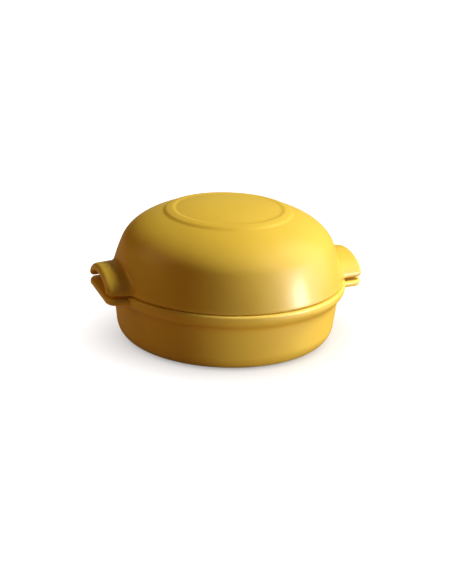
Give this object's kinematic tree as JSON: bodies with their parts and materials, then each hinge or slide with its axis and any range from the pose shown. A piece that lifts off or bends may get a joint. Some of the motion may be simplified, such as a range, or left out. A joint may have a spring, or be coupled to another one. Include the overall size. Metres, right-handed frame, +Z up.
{
  "type": "cheese baker",
  "caption": "Round covered baker for a whole small cheese: a glazed stoneware dish with flat ears, under a domed lid with vaulted handles that stand over the ears",
  "frame": {"origin": "on the table, under the middle of the dish", "axes": "+X along the line of the handles, +Y across it, +Z up; the part is the same from +X and from -X"},
  "size_m": [0.197, 0.177, 0.1003],
  "materials": {
    "yellow_glaze": "satin glaze"
  },
  "bodies": {
    "dish": {"dish": "yellow_glaze"},
    "lid": {"lid": "yellow_glaze"}
  },
  "joints": [
    {"name": "lid_lift", "type": "slide", "parent": "dish", "child": "lid", "axis": [0, 0, 1], "range_m": [0, 0.12]}
  ]
}
